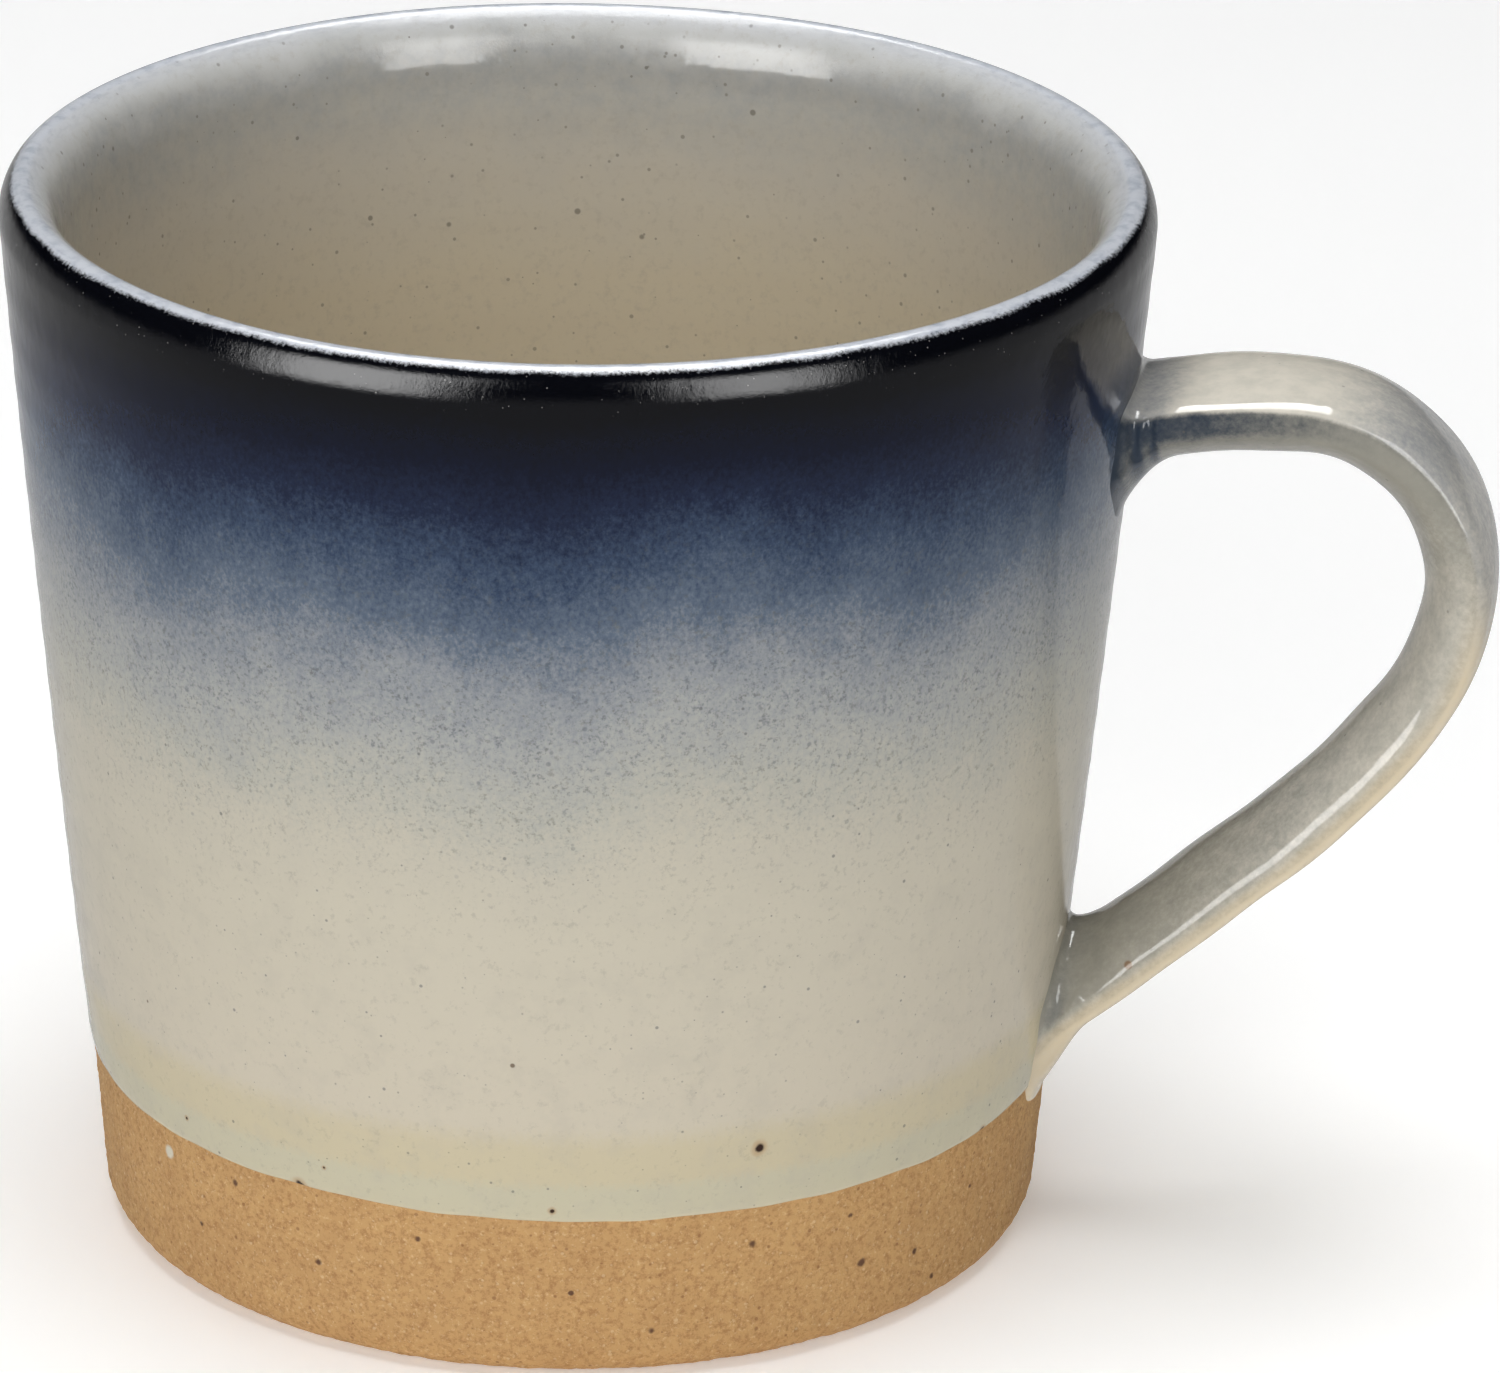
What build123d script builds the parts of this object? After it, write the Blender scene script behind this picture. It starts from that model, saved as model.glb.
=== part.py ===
"""Stoneware mug with a strap handle, glazed in two colours over a bare clay foot band.

The mug stands on its foot ring with its axis on Z and its handle towards +X. The origin is the
centre of the foot ring at table level. All sizes are in millimetres.
"""
import os
from math import asin, atan2, cos, degrees, hypot, radians, sin

from build123d import *

os.makedirs("parts", exist_ok=True)

# ---- cup, measured over the glaze ----
HEIGHT = 85.9
RIM_RADIUS = 45.0  # widest point of the lip
LIP_RADIUS = 2.7  # the lip is a full round
GLAZE_LINE_RADIUS = 38.8  # where the outside glaze ends above the bare clay band
GLAZE_LINE_HEIGHT = 14.1
GLAZE = 0.35  # thickness of every coat

# ---- cup's clay ----
BAND_FOOT_RADIUS = 37.56  # radius of the bare band just above its rounded lower edge
FOOT_EDGE_RADIUS = 2.9
FOOT_RING_INNER_RADIUS = 30.5
FOOT_WELL_RADIUS = 29.0
FOOT_WELL_DEPTH = 1.9
FOOT_WELL_CORNER = 0.9
INNER_WALL_FOOT = (34.5, 5.6)  # radius and height where the inner wall and the floor would meet
INNER_CORNER_RADIUS = 9.0

# ---- where one coat of glaze gives way to the next ----
COLOUR_SPLIT_HEIGHT = 60.0  # the dark rim coat takes over from the pale coat here
LINER_TOP_HEIGHT = 80.0  # the dark coat folds over the lip and stops here inside
WELL_COAT_RADIUS = 27.0

# ---- handle, measured over the glaze ----
HANDLE_START = (41.0, 68.4)  # radius and height where the first bend begins, inside the wall
HANDLE_START_ANGLE = 17.7  # degrees above level
HANDLE_ROOT_RUN = 4.0  # straight run before the first bend
HANDLE_BENDS = [(48.7, 18.6), (14.3, 97.6), (23.1, 29.3), (80.2, 11.5)]  # radius, degrees turned
HANDLE_TAIL_RUN = 23.0  # straight run into the wall at the lower end
STRAP_HALF_WIDTHS = (7.2, 6.4, 7.4)  # at the start, the middle and the end
STRAP_ARCHES = (3.2, 2.9, 2.6)  # rise of the inner face at the start, the middle and the end
STRAP_CROWN = 0.75  # rise of the outer face
STRAP_SIDE_TOP = 1.3  # the strap's side, measured outwards from its centreline
STRAP_SIDE_BOTTOM = -0.95
STRAP_CORNER = 1.0

# ---- slip worked into the two joints ----
UPPER_WALL_RADIUS = 43.1  # radius of the clay wall at each joint
LOWER_WALL_RADIUS = 39.0
SLIP_REACHES = (-2.0, 0.0, 0.5, 1.1, 2.0)  # distances out from the wall
UPPER_SLIP_GROWTHS = (2.6, 1.8, 1.05, 0.6, 0.3)  # how far it stands proud of the strap there
LOWER_SLIP_GROWTHS = (2.0, 1.4, 0.9, 0.55, 0.3)

CLAY_LIP_RADIUS = LIP_RADIUS - GLAZE
LIP_HEIGHT = HEIGHT - LIP_RADIUS
LIP_CENTRE = (RIM_RADIUS - LIP_RADIUS, LIP_HEIGHT)
CLAY_LINE_POINT = (GLAZE_LINE_RADIUS - GLAZE, GLAZE_LINE_HEIGHT)


def lean_touching_lip(point, side):
    """Degrees off vertical of the wall that runs from a point up to touch the lip's round."""
    run = LIP_CENTRE[0] - point[0]
    rise = LIP_CENTRE[1] - point[1]
    return degrees(atan2(run, rise) + side * asin(CLAY_LIP_RADIUS / hypot(run, rise)))


OUTER_LEAN = lean_touching_lip(CLAY_LINE_POINT, 1)
INNER_LEAN = lean_touching_lip(INNER_WALL_FOOT, -1)

# ---- half sections of the cup, in the XZ plane ----
BEYOND = 60.0  # a radius clear outside the cup
ABOVE = 100.0  # a height clear above the cup

with BuildSketch(Plane.XZ) as clay_section:
    with BuildLine():
        Line((0, FOOT_WELL_DEPTH), (FOOT_WELL_RADIUS, FOOT_WELL_DEPTH))
        Line((FOOT_WELL_RADIUS, FOOT_WELL_DEPTH), (FOOT_RING_INNER_RADIUS, 0))
        Line((FOOT_RING_INNER_RADIUS, 0), (BAND_FOOT_RADIUS - FOOT_EDGE_RADIUS, 0))
        foot_edge = JernArc((BAND_FOOT_RADIUS - FOOT_EDGE_RADIUS, 0), (1, 0), FOOT_EDGE_RADIUS, 90)
        Line(foot_edge @ 1, CLAY_LINE_POINT)
        lip = CenterArc(LIP_CENTRE, CLAY_LIP_RADIUS, -OUTER_LEAN, 180 + OUTER_LEAN - INNER_LEAN)
        Line(CLAY_LINE_POINT, lip @ 0)
        Line(lip @ 1, INNER_WALL_FOOT)
        Line(INNER_WALL_FOOT, (0, INNER_WALL_FOOT[1]))
        Line((0, INNER_WALL_FOOT[1]), (0, FOOT_WELL_DEPTH))
    make_face()
    fillet(clay_section.vertices().sort_by_distance(INNER_WALL_FOOT)[0], INNER_CORNER_RADIUS)
    well_corner = (FOOT_WELL_RADIUS, FOOT_WELL_DEPTH)
    fillet(clay_section.vertices().sort_by_distance(well_corner)[0], FOOT_WELL_CORNER)

with BuildSketch(Plane.XZ) as coated_section:
    add(clay_section.sketch)
    offset(amount=GLAZE)
    with BuildLine():
        Polyline((0, 0), (BEYOND, 0), (BEYOND, ABOVE), (0, ABOVE), close=True)
    make_face(mode=Mode.INTERSECT)

with BuildSketch(Plane.XZ) as coat_section:
    add(coated_section.sketch)
    add(clay_section.sketch, mode=Mode.SUBTRACT)

# points inside the clay where one region of glaze is parted from the next, as radius and height
FLOOR_MIDDLE = (0, 3.5)
WALL_AT_FOOT = (36.0, 3.5)
WALL_AT_LINE = (36.7, GLAZE_LINE_HEIGHT)
WALL_AT_SPLIT = (40.7, COLOUR_SPLIT_HEIGHT)
WALL_AT_LINER_TOP = (42.6, LINER_TOP_HEIGHT)


def coat_region(*corners):
    """The part of the glaze section that lies inside a polygon with these corners."""
    with BuildSketch(Plane.XZ) as region:
        add(coat_section.sketch)
        with BuildLine():
            Polyline(*corners, close=True)
        make_face(mode=Mode.INTERSECT)
    return region.sketch


def turned(section):
    """A half section spun round the mug's axis, its seam line on the side away from the handle."""
    with BuildPart() as spun:
        add(section)
        revolve(axis=Axis.Z)
    return spun.part.rotate(Axis.Z, 180)


def plug(section):
    """A solid with the outside of this half section and no hollow inside."""
    with BuildSketch(Plane.XZ) as filled:
        add(section)
        with BuildLine():
            Polyline(
                (0, FOOT_WELL_DEPTH),
                (FOOT_WELL_RADIUS, FOOT_WELL_DEPTH),
                WALL_AT_LINE,
                LIP_CENTRE,
                (0, LIP_HEIGHT),
                close=True,
            )
        make_face()
    return turned(filled.sketch)


clay_plug = plug(clay_section.sketch)
coated_plug = plug(coated_section.sketch)

# ---- cup body: wall, floor and foot ring in one piece of stoneware ----
with BuildPart() as cup_body:
    add(turned(clay_section.sketch))

# ---- handle ----
HANDLE_ROOT = (
    HANDLE_START[0] - HANDLE_ROOT_RUN * cos(radians(HANDLE_START_ANGLE)),
    HANDLE_START[1] - HANDLE_ROOT_RUN * sin(radians(HANDLE_START_ANGLE)),
)
with BuildLine(Plane.XZ) as spine:
    bend = Line(HANDLE_ROOT, HANDLE_START)
    for bend_radius, turn in HANDLE_BENDS:
        bend = JernArc(bend @ 1, bend % 1, bend_radius, -turn)
    Line(bend @ 1, bend @ 1 + (bend % 1) * HANDLE_TAIL_RUN)
centreline = spine.wires()[0]


def strap_section(place, station, growth, stretch=1.0):
    """The strap's D-shaped section, its crown outwards and its arch inwards, grown by a margin."""
    half = STRAP_HALF_WIDTHS[station]
    top = STRAP_SIDE_TOP * stretch
    bottom = STRAP_SIDE_BOTTOM * stretch
    crown = STRAP_CROWN * stretch
    arch = STRAP_ARCHES[station] * stretch
    with BuildSketch(place) as section:
        with BuildLine():
            ThreePointArc((-half, top), (0, top + crown), (half, top))
            Line((half, top), (half, bottom))
            ThreePointArc((half, bottom), (0, bottom - arch), (-half, bottom))
            Line((-half, bottom), (-half, top))
        make_face()
        fillet(section.vertices(), STRAP_CORNER)
        if growth:
            offset(amount=growth)
    return section.sketch


def strap(growth):
    """The strap swept along its centreline, grown by a margin all round."""
    with BuildPart() as swept:
        for station, share in enumerate((0, 0.5, 1)):
            place = Plane(origin=centreline @ share, x_dir=(0, 1, 0), z_dir=centreline % share)
            add(strap_section(place, station, growth))
        sweep(path=centreline, multisection=True)
    return swept.part


def collar(end, wall_radius, station, growths, extra):
    """The slip round one end of the strap, lofted through slices that lie along the wall."""
    direction = centreline % end
    crossing = centreline @ end
    crossing += direction * ((wall_radius - crossing.X) / direction.X)
    outwards = Vector(cos(radians(OUTER_LEAN)), 0, -sin(radians(OUTER_LEAN)))
    along = direction.dot(outwards)
    slice_normal = outwards if along > 0 else outwards * -1
    with BuildPart() as ring:
        for reach, growth in zip(SLIP_REACHES, growths):
            middle = crossing + direction * (reach / along)
            place = Plane(origin=middle, x_dir=(0, 1, 0), z_dir=slice_normal)
            add(strap_section(place, station, growth + extra, 1 / abs(along)))
        loft()
    return ring.part


with BuildPart() as handle:
    add(strap(-GLAZE))
    add(clay_plug, mode=Mode.SUBTRACT)

# ---- slip that lutes the handle to the wall, worked round each joint ----
with BuildPart() as upper_slip_joint:
    add(collar(0, UPPER_WALL_RADIUS, 0, UPPER_SLIP_GROWTHS, -GLAZE))
    add(clay_plug, mode=Mode.SUBTRACT)
    add(handle.part, mode=Mode.SUBTRACT)

with BuildPart() as lower_slip_joint:
    add(collar(1, LOWER_WALL_RADIUS, 2, LOWER_SLIP_GROWTHS, -GLAZE))
    add(clay_plug, mode=Mode.SUBTRACT)
    add(handle.part, mode=Mode.SUBTRACT)

# ---- coats of glaze on the cup ----
with BuildPart() as outer_glaze:
    add(
        turned(
            coat_region(
                WALL_AT_LINE,
                (BEYOND, GLAZE_LINE_HEIGHT),
                (BEYOND, COLOUR_SPLIT_HEIGHT),
                WALL_AT_SPLIT,
            )
        )
    )
    add(handle.part, mode=Mode.SUBTRACT)
    add(lower_slip_joint.part, mode=Mode.SUBTRACT)

with BuildPart() as rim_glaze:
    add(
        turned(
            coat_region(
                WALL_AT_SPLIT,
                (BEYOND, COLOUR_SPLIT_HEIGHT),
                (BEYOND, ABOVE),
                (0, ABOVE),
                (0, LINER_TOP_HEIGHT),
                WALL_AT_LINER_TOP,
            )
        )
    )
    add(handle.part, mode=Mode.SUBTRACT)
    add(upper_slip_joint.part, mode=Mode.SUBTRACT)

with BuildPart() as liner_glaze:
    add(
        turned(
            coat_region(
                WALL_AT_LINER_TOP, (0, LINER_TOP_HEIGHT), FLOOR_MIDDLE, WALL_AT_FOOT, WALL_AT_LINE
            )
        )
    )

with BuildPart() as foot_well_glaze:
    well_edge = (WELL_COAT_RADIUS, FLOOR_MIDDLE[1])
    add(turned(coat_region((0, 0), (WELL_COAT_RADIUS, 0), well_edge, FLOOR_MIDDLE)))

# ---- coat of glaze on the handle and over both joints ----
with BuildPart() as handle_glaze:
    add(strap(0))
    add(collar(0, UPPER_WALL_RADIUS, 0, UPPER_SLIP_GROWTHS, 0))
    add(collar(1, LOWER_WALL_RADIUS, 2, LOWER_SLIP_GROWTHS, 0))
    add(coated_plug, mode=Mode.SUBTRACT)
    for clay_piece in (handle, upper_slip_joint, lower_slip_joint):
        add(clay_piece.part, mode=Mode.SUBTRACT)

pieces = {
    "cup_body": cup_body,
    "handle": handle,
    "upper_slip_joint": upper_slip_joint,
    "lower_slip_joint": lower_slip_joint,
    "outer_glaze": outer_glaze,
    "rim_glaze": rim_glaze,
    "liner_glaze": liner_glaze,
    "foot_well_glaze": foot_well_glaze,
    "handle_glaze": handle_glaze,
}
for label, piece in pieces.items():
    piece.part.label = label
    export_step(piece.part, f"parts/{label}.step")
    print(label, round(piece.part.volume, 2), len(piece.solids()), piece.part.is_valid)
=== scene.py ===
"""Looks of the stoneware mug: two glazes over bare clay, standing on a pale floor in soft light.

Lengths are in millimetres, in the CAD model's frame, and are turned into metres where a mesh,
light or camera is made. The mug's axis is Z and its handle points to +X. Angles are in degrees,
round the mug's axis from the handle unless they say otherwise.
"""

import functools
import math

import bpy
import numpy as np
from mathutils import Matrix, Vector


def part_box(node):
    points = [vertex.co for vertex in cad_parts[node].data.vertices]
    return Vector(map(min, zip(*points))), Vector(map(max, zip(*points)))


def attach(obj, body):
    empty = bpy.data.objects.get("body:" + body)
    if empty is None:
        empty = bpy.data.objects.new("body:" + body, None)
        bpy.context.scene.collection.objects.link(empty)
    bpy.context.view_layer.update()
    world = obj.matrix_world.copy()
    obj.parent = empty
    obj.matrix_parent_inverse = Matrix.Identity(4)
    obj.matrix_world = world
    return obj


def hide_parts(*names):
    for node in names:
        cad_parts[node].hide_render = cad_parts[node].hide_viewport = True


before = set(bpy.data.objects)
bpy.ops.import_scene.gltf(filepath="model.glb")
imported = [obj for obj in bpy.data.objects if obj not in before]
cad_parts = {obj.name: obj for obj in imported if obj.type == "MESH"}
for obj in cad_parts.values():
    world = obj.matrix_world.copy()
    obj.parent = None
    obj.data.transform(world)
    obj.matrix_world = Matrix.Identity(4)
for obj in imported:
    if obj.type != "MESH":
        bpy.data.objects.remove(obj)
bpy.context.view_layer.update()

MM = 0.001
SEED = 7
chance = np.random.default_rng(SEED)

# ---- sizes taken from the CAD model ----
outer_box = [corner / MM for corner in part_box("outer_glaze")]
rim_box = [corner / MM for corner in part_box("rim_glaze")]
liner_box = [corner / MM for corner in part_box("liner_glaze")]
HEIGHT = rim_box[1].z
RIM_RADIUS = rim_box[1].y
LINE_HEIGHT = outer_box[0].z  # where the outside glaze ends above the bare clay
SPLIT_HEIGHT = outer_box[1].z  # the dark coat takes over from the pale coat here
LINER_TOP = liner_box[1].z
GLAZE = 0.35  # thickness of every coat
FLOOR_HEIGHT = liner_box[0].z + GLAZE  # top of the glaze on the floor inside
FRONT = -83.68  # azimuth of the mug's front

# ---- cup profile, over the glaze ----
LIP_RADIUS = 1.85
LIP_HEIGHT = HEIGHT - LIP_RADIUS  # where the lip's inner rounding starts
SHOULDER_RISE = 2.9  # the lip's outer rounding is taller than it is deep
SHOULDER_HEIGHT = HEIGHT - SHOULDER_RISE
LINE_RADIUS = 38.8
BELLY = 0.69  # the wall swells a little between the glaze line and the lip
EDGE_TUCK = 0.19  # and draws in just above the glaze line
EDGE_TUCK_RUN = 2.5
EDGE_ROLL = 0.3  # radius of the pale coat's rolled lower edge
BEAD_SIZE = 0.07  # the glaze gathers in a low bead just above that edge
BEAD_HEIGHT = 1.3
BEAD_WIDTH = 0.9
INNER_RADIUS_AT_FLOOR = 34.15
INNER_SLOPE = 0.0794
LIP_FLARE = 2.29  # the inner wall opens out towards the lip by this much
LIP_FLARE_RUN = 1.45
CROWN_TURN = 35.0  # degrees of rounding between the top of the lip and the flare
CROWN_DROP = 0.19  # fall from the top of the lip to the end of that rounding
INNER_CORNER = 8.65
WALL_STOP = 1.1  # the straight wall's rings stop this many corner radii above the floor

# ---- clay foot ----
BAND_FOOT_RADIUS = 37.56
BAND_SLOPE = 0.08  # the band draws in this much for each millimetre down
FOOT_EDGE = 2.9
RING_INNER_RADIUS = 30.5
WELL_RADIUS = 29.0
WELL_DEPTH = 1.9
WELL_COAT_RADIUS = 27.0
WELL_COAT_EDGE = 1.4  # width of the rounding at the edge of the coat in the well
WELL_COAT_SKIN = 0.03  # its thickness at its very edge
WELL_BRUSHED_FROM = 20.0  # its uneven edge fades out inside this radius
WELL_BRUSHED_IN = 0.4
WELL_TONE_DEPTH = 40.0  # it has the colour that is found this deep inside the cup

# ---- handle ----
HANDLE_START = (41.0, 68.4)
HANDLE_START_ANGLE = 17.7
HANDLE_BENDS = [(48.7, 18.6), (14.3, 97.6), (23.1, 29.3), (80.2, 11.5)]  # radius, degrees turned
HANDLE_ROOT_RUN = 6.0
HANDLE_TAIL_RUN = 26.0
STRAP_HALF_WIDTHS = (7.25, 6.4, 7.45)  # at the start, the middle and the end
STRAP_ARCHES = (3.1, 2.8, 2.5)
STRAP_CROWN = 0.76
STRAP_SIDE_TOP = 1.33
STRAP_SIDE_BOTTOM = -1.0
STRAP_ROUNDINGS = (0.6, 1.0, 1.25)
BURIED = 0.3  # how deep the handle's ends sink into the wall's glaze
UPPER_FLARES = (1.3, 1.9, 4.5)  # size of the rounding into the wall: outer face, sides, inner face
LOWER_FLARES = (3.6, 1.2, 3.2)
GROOVE_DEPTH = 0.26  # beside the lower joint
RIPPLE_SIZE = 0.17  # wrinkles of thick glaze round the upper joint
RIPPLE_PITCH = 1.25
RIPPLE_REACH = 4.0
RIPPLE_FADE = 2.2
RIPPLE_SLANT = 1.2
RIPPLE_SIDES = ((-1.0, -0.6), (0.35, 0.9))  # from under the strap round to near its top
GROOVE_AT = (0.9, 0.4)  # distance from the wall, and width
RIDGE_AT = (2.1, 0.5)
RIDGE_SHARE = 0.6
GROOVE_SIDE = (-0.55, 0.3)  # on the strap's lower flanks
FINGER_MARKS = ((0.05, 31, 2), (0.04, 57, 1))  # depth, waves along the strap, waves round it

# ---- slow waves round the mug: how many go round it, their sizes and their phases ----
WOBBLE_WAVES = ((2, 3, 5, 8), (0.06, 0.036, 0.018, 0.009), (0.4, 2.1, 4.0, 1.3))
RIM_WAVES = ((2, 3, 4, 7), (0.05, 0.04, 0.03, 0.015), (1.0, 3.3, 5.1, 0.2))
LINE_WAVES = ((3, 7, 16, 29, 47), (0.06, 0.05, 0.04, 0.03, 0.02), (0.7, 2.6, 1.1, 4.4, 3.0))
RUN_WAVES = ((2, 3, 5, 9), (0.3, 0.3, 0.3, 0.3), (0.2, 1.9, 3.7, 5.2))
BRUSH_WAVES = ((3, 5, 9, 14, 23), (0.25, 0.2, 0.15, 0.1, 0.06), (1, 2, 3, 4, 5))
WOBBLE_AT_FOOT = 0.3  # share of the wobble that is left at the foot
RIM_WAVE_START = 70.0  # the wall below this height doesn't rise and fall with the rim
THROWING_PITCH = 4.2
THROWING_DEPTH = 0.018
THROWING_START = 24.0  # the throwing rings reach their full depth at this height

# ---- runs of the dark glaze ----
# azimuth from the mug's front, half-width in degrees, drop
RUNS = [
    (-1, 7, 3.0), (-8, 12, 0.7), (-43, 10, 2.4), (40, 12, 2.2), (27, 6, 0.8), (-78, 9, 1.2),
    (80, 12, 1.8), (118, 9, 2.6), (150, 7, 1.6), (178, 10, 2.8), (-150, 8, 1.8), (-118, 8, 2.2),
]
RUN_MIDDLE = 1.5
RUNS_START = (30, 52)  # heights between which the runs come in
RUNS_WEAKEN = (68, 80)  # and heights between which they weaken towards the rim
RUNS_LOST_AT_RIM = 0.75

# ---- relief of the bare clay ----
GRAIN = 0.028
GRAIN_SHARES = (0.45, 0.75, 0.9)  # of single grains, soft lumps and wide patches
PATCH_CELLS = 6
PATCH_BLURS = 4
PIT_SHARE = 0.012
PIT_DEPTH = 0.16
TABLE_RELIEF = 0.2  # share of the relief that is left on the ring the mug stands on
TABLE_TOUCH = 0.02  # clay below this height is part of that ring

# ---- fineness of the meshes ----
SHARP_ANGLE = 62.0  # faces that meet at more than this many degrees keep their edge
CUP_SECTORS = 720
CUP_STEP = 0.45  # height of one ring on the wall
EDGE_STEPS = 8
LIP_STEPS = 22
LIP_SPACING = 1.5  # rings inside the lip stand closer together towards the top
CROWN_STEPS = 8
CORNER_STEPS = 22
FLOOR_STEPS = 24
LINER_STEP = 1.2
LINER_UNDER_RINGS = 28
UNDER_RINGS = 10
RING_SPREAD = 1e-3  # keeps rings that share a height apart
AXIS_HOLE = 0.6  # radius of the last ring round the axis
CLAY_HOLE = 0.7
CLAY_SECTORS = 720
CLAY_SINK = 0.02  # clearance between the clay and the glaze that hides it
CLAY_CLEAR = 0.3  # and more clearance where nothing of it shows
CLAY_BOWL_RINGS = 14
CLAY_BOWL_STEP = 9.0
CLAY_WALL_RINGS = 6
CLAY_LIP_RINGS = 9
CLAY_LIP_TURN = (10, 150)
CLAY_LIP_SHRINK = 0.9
# the bare clay's straight runs, outwards from the axis: radii, heights and number of rings
FOOT_RUNS = [
    ((CLAY_HOLE, WELL_RADIUS - 0.4), (WELL_DEPTH, WELL_DEPTH), 8),
    ((WELL_RADIUS - 0.2, RING_INNER_RADIUS - 0.15), (WELL_DEPTH - 0.1, 0.12), 8),
    ((RING_INNER_RADIUS + 0.1, BAND_FOOT_RADIUS - FOOT_EDGE), (0.0, 0.0), 14),
]
FOOT_EDGE_STEPS = 20
BAND_RINGS = 54
BAND_OVERLAP = 0.9  # the bare band runs on this far under the pale glaze
WELL_COAT_RINGS = [(AXIS_HOLE, 25.0, 30), (25.2, WELL_COAT_RADIUS, 12)]
WELL_COAT_SECTORS = 360
STRAP_POINTS = 120
STRAP_RINGS = 440
STRAP_END_PULL = 0.11  # how much closer the rings stand towards the joints
PATH_STEP = 0.05
OUTLINE_POINTS = 1200
OUTLINE_FACE_POINTS = 400
OUTLINE_SIDE_POINTS = 60
HALVINGS = 30
ROOT_SEARCH = 9.0  # how far past the root run the strap is sure to be out of the wall
TAIL_SEARCH = 4.0

# ---- camera ----
CAMERA_SPOT = (86.68, -655.94, 312.2)
CAMERA_TARGET = (13.857, 1.535, 43.108)
CAMERA_ROLL = 0.98
CAMERA_SENSOR = 36.0
CAMERA_LENS = 215.57
CAMERA_CLIP = 0.01  # metres

# ---- stage ----
FLOOR_REACH = 6000.0
FLOOR_GLOW = 0.27  # the floor is lit brighter than the mug
FLOOR_IN_THE_SHINE = 0.55
LIGHT_AIM = 45.0  # every light points at this height on the mug's axis
# name, azimuth from the mug's front, distance, height, width, length, power and what it lights:
# "sheen" for a light seen only in the glaze's shine, "fill" for one seen only in its colours
LIGHTS = [
    ("left_panel", -41, 420, 200, 260, 330, 4.3, "sheen"),
    ("right_panel", 35, 420, 200, 190, 330, 2.5, "sheen"),
    ("back_panel", 180, 230, 900, 600, 720, 28.0, "sheen"),
    ("top", 0, 1, 1000, 700, 700, 8.2, "fill"),
    ("front_fill", -12, 1100, 520, 900, 700, 6.0, "fill"),
]
WORLD_COLOUR = (0.95, 0.96, 1.0, 1.0)
WORLD_STRENGTH = 0.01


def smooth(low, high, x):
    """0 below low, 1 above high, and an easy curve between."""
    t = np.clip((x - low) / (high - low), 0.0, 1.0)
    return t * t * (3.0 - 2.0 * t)


def waves(angle, orders, sizes, phases):
    """A closed wavy line round the mug: a sum of sines of the angle, which is in radians."""
    total = np.zeros_like(angle)
    for order, size, phase in zip(orders, sizes, phases):
        total += size * np.sin(order * angle + phase)
    return total


def wall_radius(z):
    """Radius of the glazed wall outside at this height."""
    s = np.clip((z - LINE_HEIGHT) / (SHOULDER_HEIGHT - LINE_HEIGHT), 0.0, 1.0)
    tuck = EDGE_TUCK * np.exp(-s * (SHOULDER_HEIGHT - LINE_HEIGHT) / EDGE_TUCK_RUN)
    return LINE_RADIUS + (RIM_RADIUS - LINE_RADIUS) * s + BELLY * s * (1 - s) - tuck


def inner_radius(z):
    """Radius of the glazed wall inside at this height."""
    flare = LIP_FLARE * np.exp((z - HEIGHT) / LIP_FLARE_RUN)
    return INNER_RADIUS_AT_FLOOR + (z - FLOOR_HEIGHT) * INNER_SLOPE + flare


# ======== meshes ========


def bump_at(x, centre, width):
    """1 at the centre and falling off on both sides."""
    return np.exp(-(((x - centre) / width) ** 2))


def add_object(name, data):
    """A new object in the scene."""
    made = bpy.data.objects.new(name, data)
    bpy.context.scene.collection.objects.link(made)
    return made


def signed_volume(points, faces):
    """Six times the volume inside the faces, negative if they face inwards."""
    fans = [points[faces[:, [0, k, k + 1]]] for k in range(1, faces.shape[1] - 1)]
    return sum(np.einsum("ij,ij->i", f[:, 0], np.cross(f[:, 1], f[:, 2])).sum() for f in fans)


def make_piece(name, points, quads, triangles, fields=()):
    """A smooth mesh object from points in millimetres, with a number at each point per field."""
    if signed_volume(points, quads) < 0:
        quads = quads[:, ::-1]
        triangles = triangles[:, ::-1]
    loops = np.concatenate([quads.ravel(), triangles.ravel()])
    mesh = bpy.data.meshes.new(name)
    mesh.vertices.add(len(points))
    mesh.vertices.foreach_set("co", (points * MM).astype(np.float32).ravel())
    mesh.loops.add(len(loops))
    mesh.loops.foreach_set("vertex_index", loops.astype(np.int32))
    quad_starts = np.arange(len(quads)) * quads.shape[1]
    starts = np.concatenate([quad_starts, quads.size + np.arange(len(triangles)) * triangles.shape[1]])
    mesh.polygons.add(len(starts))
    mesh.polygons.foreach_set("loop_start", starts.astype(np.int32))
    mesh.update(calc_edges=True)
    mesh.validate()
    mesh.shade_smooth()
    mesh.set_sharp_from_angle(angle=math.radians(SHARP_ANGLE))
    for field, values in dict(fields).items():
        layer = mesh.attributes.new(field, "FLOAT", "POINT")
        layer.data.foreach_set("value", np.asarray(values, dtype=np.float32).ravel())
    return add_object(name, mesh)


def band_faces(rings, sectors, wrap):
    """Quads between rings of points. With wrap, the last ring joins the first."""
    ring = np.arange(rings if wrap else rings - 1)[:, None]
    sector = np.arange(sectors)[None, :]
    here = ring * sectors
    above = ((ring + 1) % rings) * sectors
    beside = (sector + 1) % sectors
    return np.stack([here + sector, here + beside, above + beside, above + sector], -1).reshape(-1, 4)


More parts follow.
